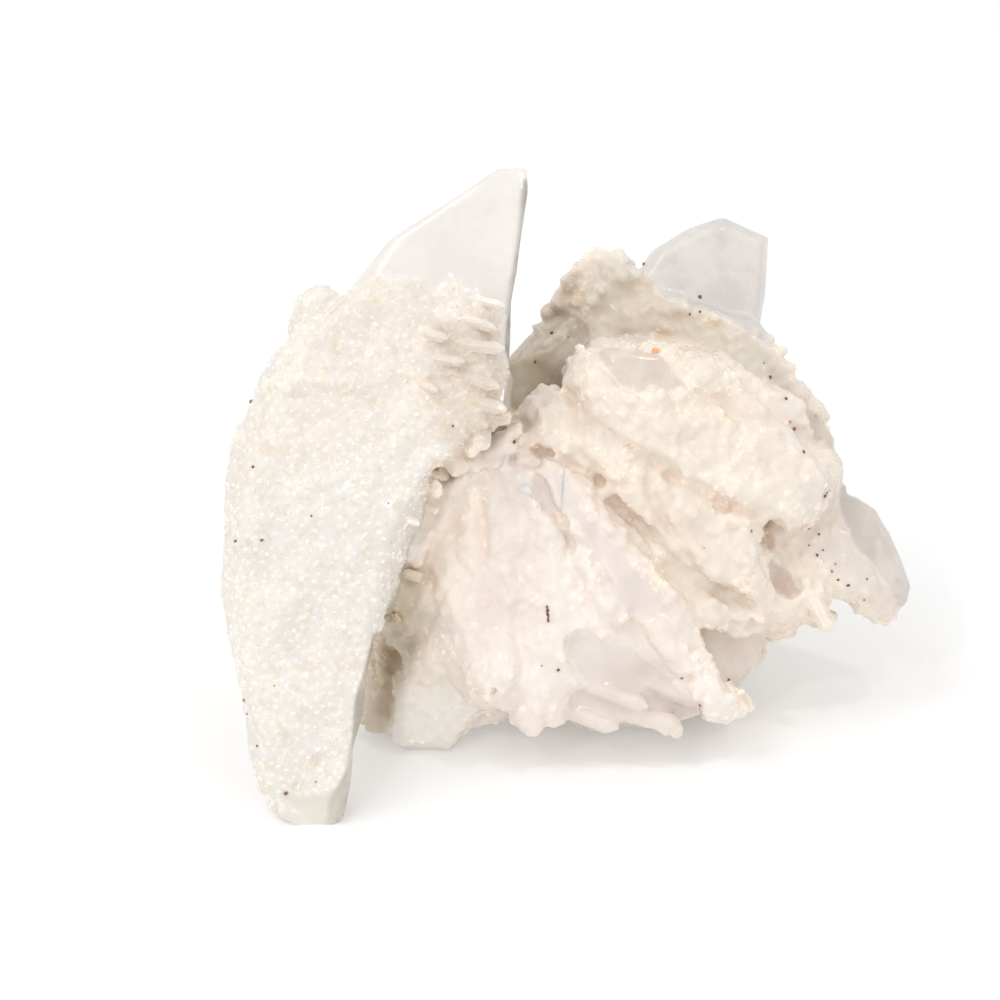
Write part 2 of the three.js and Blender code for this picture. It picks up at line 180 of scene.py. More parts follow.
# Where the crystals are bare: the depths a place holds for, how far the crust's border strays,
# its colour, and its outline across and up on the face, all in mm. The colours of the blade's
# side, the tip's edge and the hollow behind the fan are painted shade, and the ledge's hollow is
# pink with painted shade.
bareRegions = {
    "bladeTip": ((-30, -4), 1.1, (0.77, 0.73, 0.695), [
        (-28.1, 33.2), (-25.2, 35.4), (-22.8, 37.2), (-19.6, 38.1), (-17.3, 37.2), (-15.3, 37.7),
        (-13.3, 36.2), (-10.9, 35.7), (-8.5, 36.9), (-6.5, 36.6), (-5.1, 35), (-3.4, 34.5),
        (-2, 32.8), (0, 32), (2.6, 30.9), (7.7, 30.6), (7.7, 59.5), (-1.7, 59.5), (-10.2, 51.9),
        (-18.4, 46.2), (-26.4, 40.5),
    ]),
    "bladeFoot": ((-30, -4), 0.5, (0.7, 0.655, 0.565), [
        (-37.2, -49.8), (-34, -50.3), (-29.4, -50.1), (-26.2, -47.6), (-24.5, -51), (-25.2, -54.6),
        (-29.8, -58.5), (-31.5, -55.6), (-34.2, -53),
    ]),
    # painted shade: the blade's narrow side face, darkened as if in shadow
    "bladeSideShade": ((-30, 4), 0.15, (0.44, 0.4, 0.34), [
        (-21.6, -22.4), (-22.6, -26.7), (-24.8, -34), (-25.3, -40.8), (-26.4, -46.2), (-29.1, -51),
        (-29.8, -56.8), (-25.2, -53), (-24.8, -44.5), (-23.1, -37.4), (-20.8, -30.9),
        (-20.2, -26.5), (-20.6, -22.4),
    ]),
    # painted shade: a dark strip along the right edge of the blade's tip, its side face in shadow
    "tipEdgeShade": ((-30, -4), 0.1, (0.3, 0.28, 0.25), [
        (3.9, 54.5), (7.1, 54.5), (5.9, 40.5), (4.7, 28.6), (4.4, 17), (2.8, 19), (0.6, 25.8),
        (1.3, 34), (2.7, 42.5),
    ]),
    "backTip": ((5, 32), 1.0, (0.655, 0.615, 0.585), [
        (20.1, 40.5), (22.8, 39.1), (24.8, 37.6), (26.5, 35.4), (28.4, 34.2), (31.3, 33.5),
        (34, 32.1), (36.7, 31.6), (38.8, 30.6), (41.1, 28.9), (42.8, 27.9), (45.1, 26),
        (50.2, 27.2), (50.2, 51.9), (34, 51.9), (23.1, 44.2),
    ]),
    # painted shade: the smooth face behind the fan's top plate, dark khaki as if in shadow
    "backHollowShade": ((0, 32), 1.5, (0.42, 0.34, 0.235), [
        (-1, 13.6), (-1, 26.5), (3, 33), (8, 34.5), (11, 32.5), (15, 30.3), (15.6, 26.4),
        (12.2, 23.5), (11.2, 20.4), (12.2, 17.3), (7.7, 16.7), (3.7, 12.9),
    ]),
    "upperFace": ((-14, 6), 0.8, (0.8, 0.71, 0.665), [
        (6.1, 3.7), (8.8, 4.4), (11.2, 2.9), (13.1, 0), (15.3, -2.9), (17.7, -6.5), (20.7, -8.8),
        (22.8, -11.2), (25.5, -14.6), (27.9, -17.7), (29.2, -19.7), (26.4, -20.2), (23.3, -20.1),
        (20.7, -17.7), (18, -15.1), (16.7, -11.2), (15, -7.8), (13.3, -3.7), (10.2, -2),
        (7.5, -1.4),
    ]),
    "lowerFace": ((-14, 8), 0.7, (0.72, 0.63, 0.575), [
        (10.5, -23.8), (13.6, -22.8), (17, -23.8), (20.7, -24.8), (23.8, -25.8), (27.2, -28.6),
        (30.6, -32.3), (34, -34.7), (35.4, -37.7), (25.5, -40), (17, -40), (11.2, -40), (10.2, -36),
        (12.2, -33), (15, -31.3), (12.6, -28.6),
    ]),
    "sideFaces": ((-4, 16), 0.7, (0.73, 0.615, 0.53), [
        (32, -22.1), (34, -21.4), (37.7, -22.4), (41.7, -22.8), (45.6, -22.4), (45.9, -27.2),
        (42.8, -30.6), (39.1, -32.3), (37.1, -30.9), (35, -28.6), (33.7, -25.5),
    ]),
    "lyingEnd": ((0, 26), 0.8, (0.61, 0.54, 0.49), [
        (57.5, 3.4), (62, 4.4), (67.5, -0.5), (71, -7.5), (72.8, -13.6), (70.5, -19), (67.3, -18),
        (65.6, -14.3), (63.2, -10.9), (60.5, -8.2), (58.8, -4.4), (57.5, -1.4),
    ]),
    "topPatch": ((-14, 0), 1.2, (0.69, 0.59, 0.5), [
        (16.5, 25.2), (19, 26.4), (23.8, 25.8), (27.9, 24.5), (29.9, 22.4), (31.3, 19.7),
        (28.6, 18.4), (25.8, 19.4), (23.8, 18), (20.4, 19.7), (18, 22.4),
    ]),
    # pink with painted shade: the hollow between two plates, darker than the bare faces
    "ledgeHollowShade": ((0, 20), 0.8, (0.62, 0.48, 0.4), [
        (44.5, -9.5), (47.3, -10.2), (49.3, -12.2), (51, -15.6), (49.3, -17), (46.2, -15.6),
        (44.9, -12.9),
    ]),
}

# Crusted places that differ from the rest in colour, the same way but for how soft they end.
# The rods' and the recess's colours are painted shade, the back crust is partly painted shade,
# and the fan's left edge is cream with painted light.
tintedRegions = {
    # khaki tone with painted shade: the crust at the back, darker as if shaded
    "backCrustKhakiShade": ((2, 40), 1.5, (0.69, 0.63, 0.54), [
        (0.9, 14.4), (1.4, 26.4), (5.9, 30.9), (9.5, 36), (14.4, 40.5), (19, 41.5), (24.7, 38.8),
        (34, 33), (42.5, 28.9), (45.6, 25.2), (51, 18.4), (56.8, 10.9), (57.5, 3.4), (53.6, 8.2),
        (49.3, 14.5), (44.2, 19.5), (37.4, 24.1), (32.3, 26.4), (26.4, 27.7), (20.4, 27.2),
        (15.3, 25.5), (11.9, 22.4), (12.8, 16.2), (7.7, 15.3), (3.4, 12.2),
    ]),
    "lowBlade": ((-2, 30), 1.0, (0.89, 0.87, 0.815), [
        (-18.7, -24.7), (-13.6, -22.1), (-6.5, -22.4), (-2.4, -25.8), (0.9, -32.3), (0.9, -44.2),
        (-19.6, -44.2),
    ]),
    "bladeWarm": ((-30, 0), 4, (0.765, 0.715, 0.65), [
        (-40.5, 17), (-34, 28.9), (-26.4, 36.6), (-13.6, 38.2), (1.7, 34), (0.9, 20.4),
        (-5.1, 10.2), (-13.6, 8.2), (-23.8, 10.2), (-35.7, 5.1), (-45.1, 3.4), (-45.6, 11.1),
    ]),
    "rodShade": ((-30, 0), 2, (0.68, 0.615, 0.54), [
        (-10.2, 30), (0, 30), (0.9, 13.6), (-5.1, 10.2), (-12, 10.2), (-12, 20.4),
    ]),
    # painted shade: the deep recess between the blade and the fan, dark khaki
    "recessShade": ((-8, 40), 1.5, (0.6, 0.53, 0.41), [
        (-19.6, -17), (-13.6, -3.4), (-11, -9), (-12, -20.4), (-16, -30.6), (-19.5, -40),
        (-24, -40), (-22.5, -32),
    ]),
    "fanFace": ((-14, 6), 3, (0.87, 0.8, 0.74), [
        (-12, 2), (-6, 8), (6, 9.5), (12, 5), (20, -6), (30, -19), (39, -31), (40, -37.5), (3, -42),
        (-3, -33), (-9, -25), (-12, -12),
    ]),
    # cream with painted light: brighter, lifting the blade's shadow on the fan's left edge
    "fanLeftCreamLight": ((-16, 6), 3, (0.93, 0.85, 0.76), [
        (-13, 2), (-7, 7), (-1.7, 3.4), (-3.4, -8.5), (-6.8, -20.4), (-13, -17),
    ]),
    "endCrust": ((-10, 26), 2, (0.79, 0.73, 0.66), [
        (50.3, 0.7), (53, 3.4), (56.1, 5.1), (58.8, 1.4), (61.5, -5.1), (64.6, -11.9),
        (68.5, -16.2), (66.3, -19.7), (59.8, -15.6), (55.8, -11.2), (52, -8.2),
    ]),
}

# The tall blade, as the part of the face that holds it: across and rise in mm, and its depth.
bladeBlock = {
    "outline": [
        (-75, -10), (-34.6, -10), (-34.6, 14), (-33, 22), (-29.5, 33), (-26, 47), (-23.4, 53),
        (-22, 60), (-10.5, 69), (-8, 76), (-5, 90), (-2, 125), (-75, 125),
    ],
    "frontOutline": [(-80, -20), (-6, -20), (0, 60), (0, 130), (-80, 130)],
    "frontDepths": (-20, 8.5),
    "depths": (8, 17),
    "back": 15.5,
    "soft": 0.5,
}

# The far side's crystals are bare from some way off its middle, in mm but for the middle.
farSide = {
    "middle": (0.0062, 0.015, 0.036),
    "behind": 20,
    "bareFrom": 27,
    "bareTo": 33,
    "wander": 12,
    "wanderSize": 16 * mm,
}

# The crust's border: its strays, and the bare strip along the ground, in mm.
border = {
    "straySize": 2.4 * mm,
    "fineSize": 1.1 * mm,
    "fineShare": 0.6,
    "soft": 0.35,
    "washSoft": 0.5,
    "groundBare": 0.8,
    "groundCrust": 2.2,
}

leanTurn = math.radians(90 - camera["tilt"])
faceOrigin = (1.7796, 51.0464)


def leaned(points):
    # across, depth and rise in mm along the leaning face, without perspective
    across = points[:, 0] / mm + faceOrigin[0]
    y = points[:, 1] / mm + faceOrigin[1]
    z = points[:, 2] / mm
    rise = y * math.sin(leanTurn) + z * math.cos(leanTurn)
    depth = y * math.cos(leanTurn) - z * math.sin(leanTurn)
    return across, depth, rise


def upright(across, depth, rise):
    # the same the other way round, for one place
    return (
        (across - faceOrigin[0]) * mm,
        (rise * math.sin(leanTurn) + depth * math.cos(leanTurn) - faceOrigin[1]) * mm,
        (rise * math.cos(leanTurn) - depth * math.sin(leanTurn)) * mm,
    )


def bladeAt(points):
    across, depth, rise = leaned(points)
    inside = insideBy(across, rise, bladeBlock["outline"])
    inBlock = fade(inside, -bladeBlock["soft"], bladeBlock["soft"])
    return inBlock * fade(depth, bladeBlock["back"] + 1, bladeBlock["back"])


# Where the smoother middle of the fan's face starts and is full, in mm.
calm = {"outline": tintedRegions["fanFace"][-1], "border": (-1, 4), "behind": (8, 4)}


def calmAt(points):
    across, up, behind = onFace(points)
    inside = insideBy(across, up, calm["outline"])
    return fade(inside, *calm["border"]) * fade(behind, *calm["behind"])


# Grooves between the plates, across and up on the face in mm.
grooves = {
    "width": 1.5,
    "wander": 0.6,
    "wanderSize": 2.5 * mm,
    "sink": 1.1 * mm,
    "behind": 12,
    # the grooves' pinkish tan, partly painted shade in the creases
    "colour": (0.8, 0.69, 0.59),
    "warmTint": 0.6,
}
groovePaths = [
    [
        (11.9, 16.6), (14.8, 14), (18.4, 11.2), (22.8, 9.4), (25.6, 7.2), (28.4, 4.2), (32.6, 1.4),
        (37, -1), (42, -2.6), (47, -4.4),
    ],
    [(2.9, 9.9), (6, 8.6), (9.2, 7.1), (14.1, 4.9), (18, 2.6), (21.4, 2.4)],
    [(24.5, 3.6), (26.2, -1), (28.4, -4.3), (31.1, -8), (33.5, -11.4), (36.9, -14.1), (42.5, -17)],
]


def grooveAt(points):
    across, up, behind = onFace(points)
    nearest = np.min([apartFrom(across, up, path) for path in groovePaths], axis=0)
    nearest += grooves["wander"] * noiseAt(points, grooves["wanderSize"], 6.6)
    return fade(nearest, grooves["width"], 0) * (behind < grooves["behind"])


def crustAt(points):
    # 1 where crust grows and 0 where the crystals are bare
    across, up, behind = onFace(points)
    stray = noiseAt(points, border["straySize"], 5.1)
    stray += border["fineShare"] * noiseAt(points, border["fineSize"], 9.7)
    bare = np.zeros(len(points))
    for (near, far), ragged, colour, outline in bareRegions.values():
        inside = insideBy(across, up, outline) + ragged * stray
        held = (behind > near) & (behind < far)
        bare = np.maximum(bare, fade(inside, -border["soft"], border["soft"]) * held)
    reach = np.linalg.norm(points - np.array(farSide["middle"]), axis=1) / mm
    reach += farSide["wander"] * noiseAt(points, farSide["wanderSize"], 2.2)
    farBare = fade(reach, farSide["bareFrom"], farSide["bareTo"]) * (behind > farSide["behind"])
    ground = fade(points[:, 2] / mm, border["groundCrust"], border["groundBare"])
    return 1 - np.maximum(np.maximum(bare, farBare), ground)


# The colours of the fan's crust, the blade's crust and the bare crystals.
tones = {
    "cream": np.array([0.84, 0.77, 0.68]),
    "bladeWhite": np.array([0.765, 0.735, 0.695]),
    "clear": np.array([0.82, 0.765, 0.71]),
}


def washAt(points):
    # the colour of each place, before the finer marks, with the painted shade and painted light
    # of some regions and the grooves
    across, up, behind = onFace(points)
    crust = crustAt(points)[:, None]
    blade = bladeAt(points)[:, None]
    wash = tones["cream"] * (1 - blade) + tones["bladeWhite"] * blade
    wash = wash * crust + tones["clear"] * (1 - crust)
    for regions, share in ((bareRegions, 1 - crust), (tintedRegions, crust)):
        for (near, far), edge, colour, outline in regions.values():
            soft = edge if regions is tintedRegions else border["washSoft"]
            amount = fade(insideBy(across, up, outline), -soft, soft)
            amount *= fade(behind, near - 1, near + 1) * fade(behind, far + 1, far - 1)
            amount = amount[:, None] * share
            wash = wash * (1 - amount) + np.array(colour) * amount
    # pinkish tan in the grooves, partly painted shade
    warmTint = (grooves["warmTint"] * grooveAt(points))[:, None] * crust
    return wash * (1 - warmTint) + np.array(grooves["colour"]) * warmTint


# Flakes that fan out from one place on the face: their width is taken some way off it, in mm.
flakes = {
    "hub": (-3.4, 21.3),
    "off": 40,
    "across": 4.8,
    "along": 13,
    "thick": 8,
    "swing": 0.75,
    "steps": 4,
    "edge": 0.3,
    "ragged": 0.13,
    "raggedSize": 1.3 * mm,
}


def flakesAt(points):
    # how high each place lies among the flakes, in steps from 0 to 1
    across, up, behind = onFace(points)
    across, up = across - flakes["hub"][0], up - flakes["hub"][1]
    grid = np.stack([
        np.arctan2(up, across) * flakes["off"] / flakes["across"],
        np.hypot(across, up) / flakes["along"],
        behind / flakes["thick"],
    ], axis=1)
    height = 0.5 + flakes["swing"] * noiseAt(grid, 1.0, 4.4)
    height += flakes["ragged"] * noiseAt(points, flakes["raggedSize"], 7.7)
    height = np.clip(height, 0, 0.999) * flakes["steps"]
    return (np.floor(height) + fade(height % 1, 0, flakes["edge"])) / flakes["steps"]


# Small shapes that are modelled once and copied.


def shapeOf(obj):
    places = placesOf(obj)
    faces = [list(p.vertices) for p in obj.data.polygons]
    bpy.data.objects.remove(obj)
    return places, faces


def crystalShape(tipScale, tipRise):
    # a six-sided prism whose tip is a little off its middle
    deselectAll()
    bpy.ops.mesh.primitive_cylinder_add(vertices=6, radius=0.5, depth=1, location=(0, 0, 0))
    obj = bpy.context.object
    bpy.ops.object.mode_set(mode="EDIT")
    mesh = bmesh.from_edit_mesh(obj.data)
    for face in mesh.faces:
        face.select_set(face.normal.z > 0.9)
    bmesh.update_edit_mesh(obj.data)
    bpy.ops.mesh.extrude_region_move(TRANSFORM_OT_translate={"value": (0.06, 0.02, tipRise)})
    bpy.ops.transform.resize(value=(tipScale, tipScale, 1))
    bpy.ops.object.mode_set(mode="OBJECT")
    return shapeOf(obj)


def lumpShape():
    deselectAll()
    bpy.ops.mesh.primitive_uv_sphere_add(segments=8, ring_count=6, radius=1, location=(0, 0, 0))
    return shapeOf(bpy.context.object)


rodLook = {"tip": 0.16, "flat": 0.8, "spin": 1.1}

# One wide and one long, with a tip on top: how wide the tip ends, and how high it is.
shapes = {
    "point": crystalShape(0.08, 0.42),
    "blunt": crystalShape(0.45, 0.3),
    "rod": crystalShape(0.3, rodLook["tip"]),
    "lump": lumpShape(),
}


def turnedTo(axes, spins):
    # a turning matrix for each axis, with +Z along the axis
    up = np.where(np.abs(axes[:, 2:3]) < 0.9, [0, 0, 1.0], [1.0, 0, 0])
    side = unit(np.cross(up, axes))
    other = np.cross(axes, side)
    c, s = np.cos(spins)[:, None], np.sin(spins)[:, None]
    return np.stack([side * c + other * s, other * c - side * s, axes], axis=2)


def copies(name, shape, sizes, turns, centres):
    # one object with many copies of a small shape
    places, faces = shapes[shape]
    put = np.einsum("nij,nkj->nki", turns, places[None] * sizes[:, None, :])
    put += centres[:, None, :]
    starts = (np.arange(len(sizes)) * len(places)).tolist()
    shifted = [[v + start for v in face] for start in starts for face in faces]
    return meshFrom(name, put.reshape(-1, 3), shifted)


# Lumps that the body gets before its crust, in mm: across, up and behind, then the half sizes,
# or one half size for a ball.
lumps = [
    (-32, 32, -16, 2.8, 3.2, 2.4), (-30.3, 34.2, -16, 2.2, 2.2, 2), (-33.5, 29.2, -15, 2.4, 3, 2),
    (10.4, 34.3, 11, 1.7), (12.2, 36.2, 11, 2), (14.6, 37.6, 10, 2.4), (17.3, 39.1, 11, 2.6),
    (19.7, 38.8, 11, 2.2), (22.1, 37.4, 10, 2), (8.2, 32.1, 13, 1.5), (5.1, 2.7, -7.5, 4, 4.5, 2.4),
    (7.7, -0.9, -7, 4, 5, 2.4), (6.1, -5.1, -6.6, 4.5, 5, 2.4), (7.1, -11.1, -5.8, 5, 6, 2.6),
    (7.5, -17.3, -5.6, 5, 6, 2.6), (7.1, -23.8, -5.2, 5, 6, 2.6), (6.5, -30.6, -4.6, 4.5, 5.5, 2.6),
    (15, -9.9, -7.5, 2.4, 2.8, 2.2), (16.7, -12.6, -7.4, 2.4, 2.8, 2.2),
    (18.4, -15.6, -7.4, 2.4, 2.8, 2.2), (19.6, -18.6, -7.6, 2.4, 1.9, 2.1),
    (20.7, 8.5, -7, 2.6, 1.9, 2.2), (24.1, 6.8, -5.5, 3, 2.1, 2.4), (26.7, 5.4, -5, 2.8, 2.1, 2.3),
    (1.4, 10.2, -11, 1.9), (-2.4, 7, -9.8, 2.8, 2.2, 2.4), (4.4, 9.3, -8.4, 1.9),
    (17.4, 11.4, -8.2, 2, 1.8, 2), (32.3, 2, -5.4, 2.4, 2, 2.4), (34.7, 0.3, -5.2, 2.6, 2.2, 2.4),
    (36, -1.2, -4.8, 2.6, 2.2, 2.4), (37.6, -2.6, -4.2, 2.6, 2.2, 2.4),
    (39.4, -3.6, -3.4, 2.6, 2.2, 2.4), (41.6, -4.6, -2.8, 2.6, 2.2, 2.4),
    (41.4, -2.4, -5, 2.2, 1.8, 2.2), (44.4, -3, -4.6, 2.2, 1.8, 2.2),
    (35.4, -19.2, -2.6, 2.4, 2.2, 2.4), (45.2, 25.2, 11, 1.6), (47.4, 21.8, 11, 1.5),
    (50.5, 17.7, 11, 1.7), (52.4, 13.9, 11, 2.2, 2.6, 2), (53, 10.2, 10, 2.2, 2.6, 2),
    (44.2, 28.1, 12, 1.3), (-13.2, -17.6, 2, 3, 4.8, 2.6), (-13, -16.4, -3, 2.2, 3.2, 2.2),
    (-13.8, -19.8, -2, 2.2, 2.8, 2.2), (-15, -21.5, 2, 2.6, 3.6, 2.4),
    (-9.7, 11.5, -17, 2.2, 2, 2.5), (-11.6, 8.6, -16, 2.2, 2, 2.5),
]

# Rods on the blade's right edge: from, to and width in mm.
rods = [
    ((-8.8, 22.4, -19.6), (-0.2, 19, -23.6), 2.8), ((-8.2, 26.6, -19.6), (0.8, 25.6, -23.4), 2.4),
    ((-7.7, 31.2, -19.6), (-0.6, 29, -23.6), 2.4), ((-9.2, 18.4, -19.4), (1.1, 15.4, -22.8), 3),
    ((-10.2, 15.9, -18.6), (-2, 12.8, -21.2), 2.8), ((-5.1, 34.4, -19.6), (0.9, 32.9, -23), 2),
    ((-12.9, 24.6, -19.4), (-6.1, 23.4, -23.6), 2.2), ((-14.5, 29, -19.4), (-9, 27.4, -23.4), 2),
    ((-15.5, 20.6, -19.4), (-10.4, 18.6, -23.2), 2.2),
    ((-17.6, -2.5, -18.6), (-13.6, -4.1, -19.8), 1.4),
]


def lumpMesh():
    centres = np.array([fromFace(*lump[:3]) for lump in lumps])
    sizes = np.array([np.ones(3) * lump[3:] for lump in lumps]) * mm
    turn = np.stack([np.array([1, 0, 0]), lookUp, lookAlong], axis=1)
    turns = np.repeat(turn[None], len(lumps), axis=0)
    return copies("lumps", "lump", sizes, turns, centres)


def cellPoints(places, spacings, reaches):
    # keeps places at least their spacing apart, and sorts them into sets whose crystals don't touch
    cell = float(reaches.max())
    cells = np.floor(places / cell).astype(int)
    grid, kept, sets = {}, [], {}
    for i, here in enumerate(cells.tolist()):
        around = product(*[(c - 1, c, c + 1) for c in here])
        near = [j for beside in around for j in grid.get(beside, ())]
        taken = set()
        if near:
            apart = np.linalg.norm(places[near] - places[i], axis=1)
            if (apart < spacings[i]).any():
                continue
            taken = {sets[j] for j, d in zip(near, apart) if d < reaches[i]}
        sets[i] = next(group for group in range(len(taken) + 1) if group not in taken)
        kept.append(i)
        grid.setdefault(tuple(here), []).append(i)
    return np.array(kept), np.array([sets[i] for i in kept])


scatterSpacing = 0.5 * mm


def scatterOn(obj, seed):
    # chance places all over a piece, one for each square of the scatter's spacing
    mesh = obj.data
    mesh.calc_loop_triangles()
    count = len(mesh.loop_triangles)
    corners = np.empty(count * 3, dtype=int)
    mesh.loop_triangles.foreach_get("vertices", corners)
    corners = placesOf(obj)[corners.reshape(-1, 3)]
    cross = np.cross(corners[:, 1] - corners[:, 0], corners[:, 2] - corners[:, 0])
    areas = np.linalg.norm(cross, axis=1) / 2
    random = np.random.default_rng(seed)
    wanted = int(areas.sum() / scatterSpacing**2)
    chosen = random.choice(count, wanted, p=areas / areas.sum())
    a, b = random.random((2, wanted, 1))
    flip = a + b > 1
    a, b = np.where(flip, 1 - a, a), np.where(flip, 1 - b, b)
    tri = corners[chosen]
    places = tri[:, 0] + a * (tri[:, 1] - tri[:, 0]) + b * (tri[:, 2] - tri[:, 0])
    return places, unit(cross[chosen]), random


# Round knobs of crystal: rows along the crust's borders, and loose ones between, which are
# close along the edges of the flakes.
knobs = {
    "seed": 8,
    "step": 1.5,
    "wander": 0.35,
    "vary": (0.8, 1.2),
    "sunk": 0.45,
    "rowBehind": 20,
    "looseSize": (0.75, 1.25),
    "looseSpacing": 2 * mm,
    "looseVary": (0.8, 1.3),
    "looseCover": 0.32,
    "onCrust": 0.9,
    "offBlade": 0.1,
    "looseBehind": 22,
    "patchSize": 6 * mm,
    "calm": 0.3,
    "grooveFree": 0.3,
    "edgeCover": 0.9,
    "edgeStep": 0.07,
    "edgeReach": 0.4 * mm,
    "stretch": (0.8, 1.15),
}

# Rows of knobs: half size and path in mm.
knobRows = [
    (1.7, [
        (8.2, 32), (10.4, 34.3), (12.8, 36.2), (15.3, 38.1), (18, 39.4), (20.7, 38.4), (23.8, 36.6),
    ]),
    (1.5, [(43.7, 28.9), (45.2, 25.2), (47.4, 21.8), (50.5, 17.7), (52.4, 13.9), (53, 10.2)]),
    (1.4, [
        (11.7, 21.8), (15.3, 17), (19, 12.9), (24.8, 8.2), (30.6, 2.7), (35.4, -1), (41.7, -3.4),
        (48.8, -4.8), (52.7, -3.4),
    ]),
    (1.3, [(34, 23.5), (40, 18.4), (45.1, 15), (50.2, 10.2), (53, 6), (54.7, 1.7)]),
    (1.3, [
        (4.2, 13.9), (9.4, 15.3), (14.1, 13.6), (19, 10.2), (24.1, 5.1), (27.2, 2), (31.8, -0.3),
        (37.4, -6), (42.5, -11.1), (45.4, -14.5),
    ]),
    (1.3, [
        (8.2, 7.1), (12.8, 3.4), (17, -0.9), (23.8, -6.8), (30.6, -12.8), (36.6, -17),
        (42.5, -20.4),
    ]),
    (1.2, [(51, -6), (53.6, -10.2), (54.7, -15.3), (53, -17.9)]),
    (1.3, [
        (-5.1, 5.1), (-8.2, 1.7), (-10.2, -3.4), (-11.9, -7.7), (-10.9, -12.8), (-8.2, -17),
        (-5.8, -23.8), (-3.4, -30.6),
    ]),
    (1.3, [(-34, 28.1), (-36.6, 24.7), (-38.8, 21.2), (-41.7, 17.9), (-44.2, 11.9), (-45.6, 8.5)]),
]
fullTurn = 6.28


def alongRow(points, step):
    for (ax, ay), (bx, by) in zip(points, points[1:]):
        count = max(1, round(math.hypot(bx - ax, by - ay) / step))
        for i in range(count):
            yield ax + (bx - ax) * i / count, ay + (by - ay) * i / count


def rowKnobs(obj):
    # knobs along the rows, where the line of sight meets the body
    tree = treeOf(obj)
    random = np.random.default_rng(knobs["seed"])
    centres, halves = [], []
    for size, row in knobRows:
        for place in alongRow(row, size * knobs["step"]):
            across, up = np.array(place) + random.normal(scale=knobs["wander"], size=2)
            half = size * random.uniform(*knobs["vary"])
            hit = seenAt([tree], across, up)
            if hit and hit[3] < camera["distance"] + knobs["rowBehind"] * mm:
                centres.append(hit[0] - hit[1] * knobs["sunk"] * half * mm)
                halves.append(half * mm)
    return np.array(centres), np.array(halves)


def looseKnobs(obj):
    places, normals, random = scatterOn(obj, knobs["seed"])
    patches = noiseAt(places, knobs["patchSize"], 1.7) + 0.5 + knobs["calm"] * calmAt(places)
    here = flakesAt(places)
    step = np.zeros(len(places))
    for reach in (np.array([1, 0, 0]), lookUp):
        there = flakesAt(places + reach * knobs["edgeReach"])
        step = np.maximum(step, np.abs(there - here))
    cover = np.where(step > knobs["edgeStep"], knobs["edgeCover"], knobs["looseCover"])
    keep = (crustAt(places) > knobs["onCrust"]) & (bladeAt(places) < knobs["offBlade"])
    keep &= (patches < cover) & (onFace(places)[2] < knobs["looseBehind"])
    keep &= grooveAt(places) < knobs["grooveFree"]
    places, normals = places[keep], normals[keep]
    spacings = knobs["looseSpacing"] * random.uniform(*knobs["looseVary"], len(places))
    kept = cellPoints(places, spacings, spacings * 2)[0]
    halves = random.uniform(*knobs["looseSize"], len(kept)) * mm
    return places[kept] - normals[kept] * halves[:, None] * knobs["sunk"], halves, random


def knobMesh(obj):
    rowCentres, rowHalves = rowKnobs(obj)
    looseCentres, looseHalves, random = looseKnobs(obj)
    centres = np.concatenate([rowCentres, looseCentres])
    halves = np.concatenate([rowHalves, looseHalves])
    count = len(halves)
    print("knobs:", count)
    sizes = halves[:, None] * random.uniform(*knobs["stretch"], (count, 3))
    axes = unit(random.normal(size=(count, 3)))
    turns = turnedTo(axes, random.uniform(0, fullTurn, count))
    return copies("knobs", "lump", sizes, turns, centres)


# Thin points at the ends of the fan's plates, the same way as the rods.
shards = [
    ((53, -16.2, 2), (56.2, -22.4, 0.6), 3.2), ((37.7, -31.8, -1), (41.4, -36.9, -2.5), 4),
]


def rodMeshes(rods):
    # two sets, so that neighbours don't touch within one
    starts, ends = (np.array([fromFace(*rod[end]) for rod in rods]) for end in (0, 1))
    axes = unit(ends - starts)
    lengths = np.linalg.norm(ends - starts, axis=1) / (1 + rodLook["tip"])
    widths = np.array([rod[2] for rod in rods]) * mm
    sizes = np.stack([widths, widths * rodLook["flat"], lengths], axis=1)
    centres = starts + axes * sizes[:, 2:] / 2
    turns = turnedTo(axes, np.arange(len(rods)) * rodLook["spin"])
    return [
        copies("rods", "rod", sizes[part], turns[part], centres[part])
        for part in (slice(0, None, 2), slice(1, None, 2))
    ]


# Lumps, knobs and grains have their size and rise. The shares say how much less the blade and
# the fan's middle are roughened, and how much of the grains the fan gets.
body = {
    "voxel": 0.54 * mm,
    "weld": 0.001 * mm,
    "bladeLobes": 0.6,
    "bladeFlakes": 0.75,
    "calmLobes": 0.45,
    "calmGrains": 0.3,
    "fanGrains": 0.55,
    "crustRise": 0.3 * mm,
    "flakeRise": 2.6 * mm,
    "flakeSink": 1 * mm,
    "lump": (4.6 * mm, 0.9 * mm),
    "knob": (1.9 * mm, 0.65 * mm),
    "grain": (1 * mm, 0.2 * mm),
    "cellMiddle": 0.4,
    "soften": {"factor": 0.5, "iterations": 4},
    "settle": {"factor": 0.5, "iterations": 2},
}


def weigh(obj, name, weights, steps=20):
    # a vertex group, filled in steps so that equal weights go in together
    group = obj.vertex_groups.new(name=name)
    levels = np.round(weights * steps) / steps
    for level in np.unique(levels):
        if level > 0:
            group.add(np.nonzero(levels == level)[0].tolist(), float(level), "REPLACE")


def roughened(obj, kind, group):
    # cells with round tops
    size, rise = body[kind]
    texture = bpy.data.textures.new(kind, "VORONOI")
    texture.noise_scale = size
    texture.distance_metric = "DISTANCE_SQUARED"
    applied(
        obj, kind, "DISPLACE", texture=texture, texture_coords="LOCAL",
        strength=-rise, mid_level=body["cellMiddle"], vertex_group=group,
    )


def raised(obj, group, rise):
    applied(obj, "raise", "DISPLACE", strength=rise, mid_level=0, vertex_group=group)


def joinTo(obj, other):
    pick(obj)
    other.select_set(True)
    bpy.ops.object.join()


